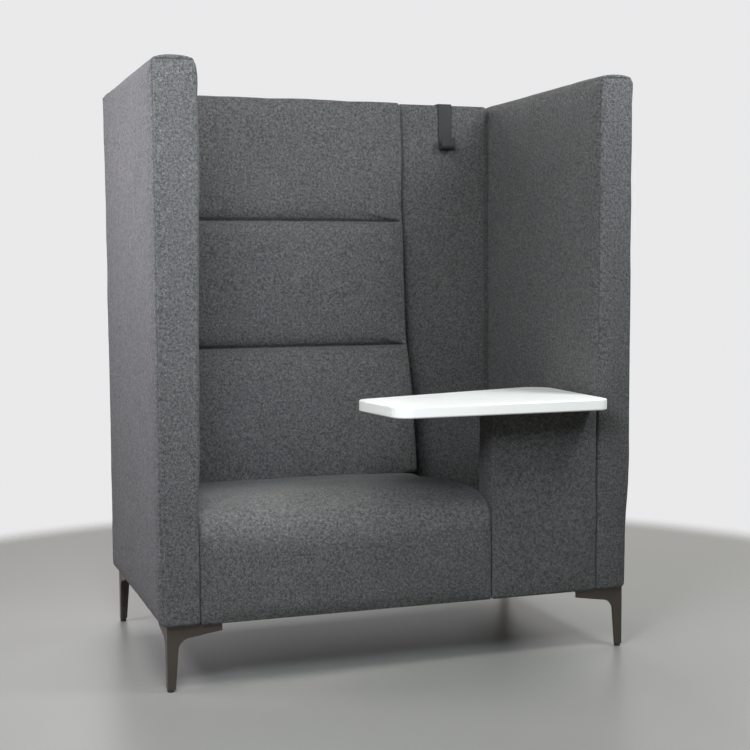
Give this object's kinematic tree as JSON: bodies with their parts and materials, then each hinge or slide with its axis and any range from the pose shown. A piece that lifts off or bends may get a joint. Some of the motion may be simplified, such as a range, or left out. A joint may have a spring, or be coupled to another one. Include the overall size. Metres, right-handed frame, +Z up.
{
  "type": "privacy booth sofa",
  "caption": "High-sided upholstered booth seat with a channelled backrest, a side table on a front panel, a coat hanger over the back and metal corner legs.",
  "frame": {"origin": "on the floor, at the middle of the whole object's plan", "axes": "+X to the right seen from the front, +Y to the back, +Z up"},
  "size_m": [1.2, 0.8427, 1.4484],
  "materials": {
    "upholstery": "heather grey felted wool",
    "timber": "raw softwood and plywood",
    "webbing": "woven elastic",
    "dust_cloth": "black non-woven",
    "felt": "dark felt",
    "white_laminate": "satin white",
    "zinc_steel": "zinc plated",
    "bronze_metal": "dark bronze satin",
    "glide_plastic": "black",
    "hanger_steel": "dark grey powder coat"
  },
  "bodies": {
    "booth": {"left_side_cover": "upholstery", "right_side_cover": "upholstery", "back_cover": "upholstery", "backrest_top_pad": "upholstery", "backrest_middle_pad": "upholstery", "backrest_lower_pad": "upholstery", "coat_pad": "upholstery", "seat_cushion": "upholstery", "support_cover": "upholstery", "left_side_frame": "timber", "right_side_frame": "timber", "back_frame": "timber", "base_board": "timber", "seat_frame": "timber", "support_frame": "timber", "seat_webbing": "webbing", "dust_cover": "dust_cloth", "well_mat": "felt", "table_top": "white_laminate", "panel_studs": "zinc_steel", "leg_screws": "zinc_steel", "bracket_screws": "zinc_steel", "frame_screws": "zinc_steel", "bracket_support_left": "zinc_steel", "bracket_support_right": "zinc_steel", "bracket_side": "zinc_steel", "leg_front_left": "bronze_metal", "leg_front_right": "bronze_metal", "leg_back_left": "bronze_metal", "leg_back_right": "bronze_metal"},
    "glide_front_left": {"glide_front_left": "glide_plastic"},
    "glide_front_right": {"glide_front_right": "glide_plastic"},
    "glide_back_left": {"glide_back_left": "glide_plastic"},
    "glide_back_right": {"glide_back_right": "glide_plastic"},
    "coat_hanger": {"coat_hanger": "hanger_steel"}
  },
  "joints": [
    {"name": "glide_front_left_level", "type": "slide", "parent": "booth", "child": "glide_front_left", "axis": [0, 0, -1], "range_m": [0, 0.01]},
    {"name": "glide_front_right_level", "type": "slide", "parent": "booth", "child": "glide_front_right", "axis": [0, 0, -1], "range_m": [0, 0.01]},
    {"name": "glide_back_left_level", "type": "slide", "parent": "booth", "child": "glide_back_left", "axis": [0, 0, -1], "range_m": [0, 0.01]},
    {"name": "glide_back_right_level", "type": "slide", "parent": "booth", "child": "glide_back_right", "axis": [0, 0, -1], "range_m": [0, 0.01]},
    {"name": "hanger_slide", "type": "slide", "parent": "booth", "child": "coat_hanger", "axis": [1, 0, 0], "range_m": [-0.12, 0.11]}
  ]
}
